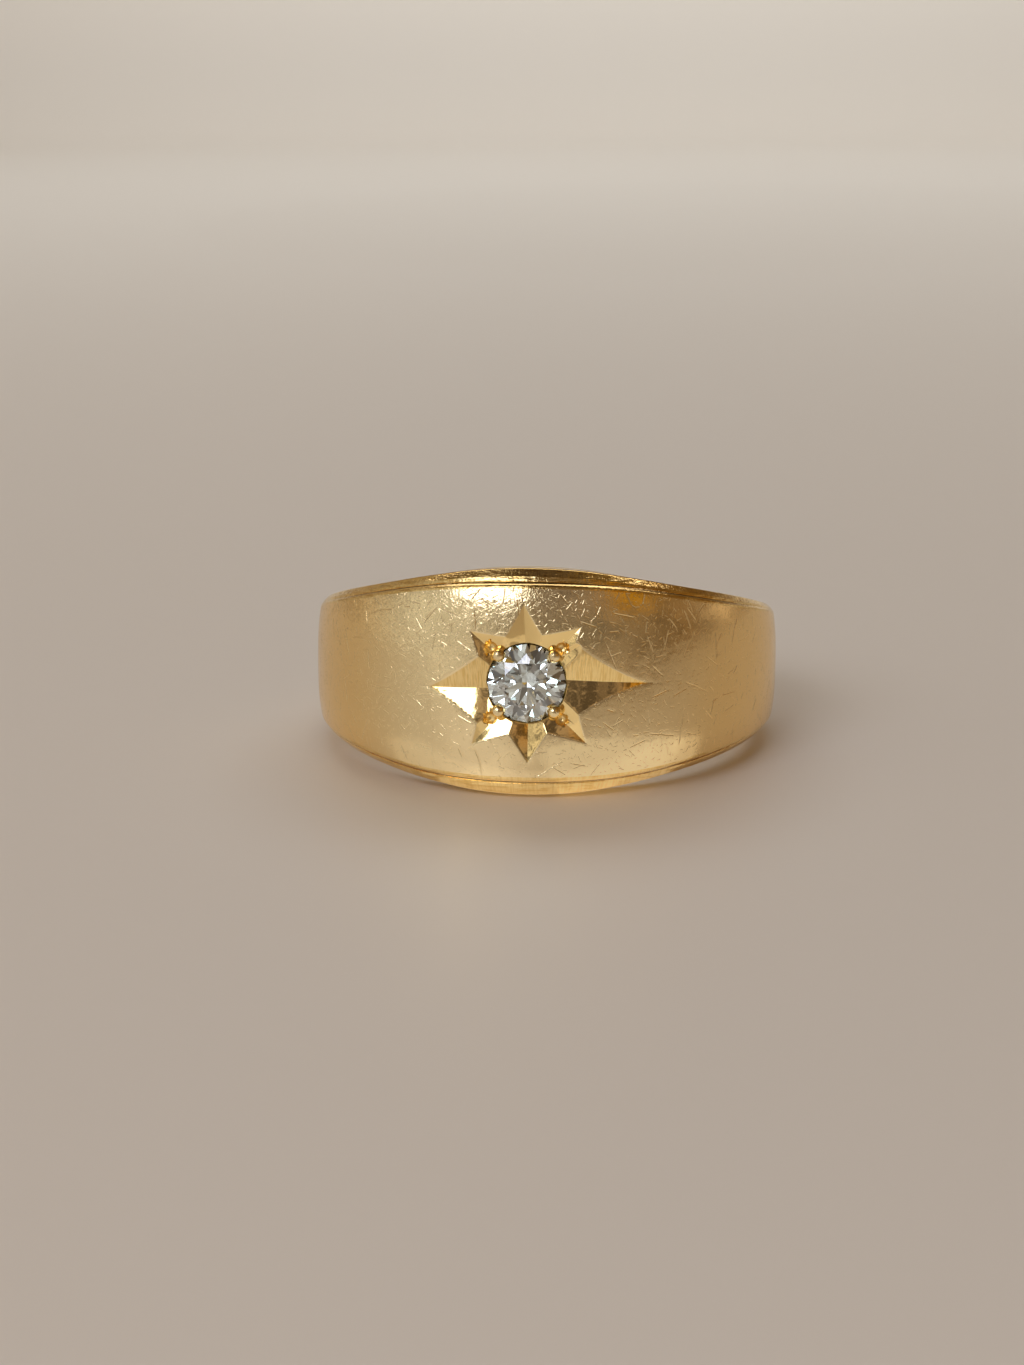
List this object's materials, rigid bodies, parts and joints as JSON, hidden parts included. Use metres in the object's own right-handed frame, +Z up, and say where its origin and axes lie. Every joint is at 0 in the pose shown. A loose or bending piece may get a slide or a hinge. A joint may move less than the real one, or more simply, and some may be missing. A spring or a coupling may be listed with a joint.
{
  "type": "flush set gypsy ring",
  "caption": "Wide tapering gold finger ring with a round faceted stone set flush in an engraved star.",
  "frame": {"origin": "centre of the bounding box at its lowest level, on the surface that the ring lies on", "axes": "+Z up from that surface, the head with the stone towards -Y, the shank's back towards +Y, +X to the right as seen from the front"},
  "size_m": [0.0204, 0.0216, 0.0093],
  "materials": {
    "gold": "worn satin yellow gold with fine scratches",
    "diamond": "polished colourless diamond"
  },
  "bodies": {
    "root": {"band": "gold", "stone": "diamond"}
  },
  "joints": []
}
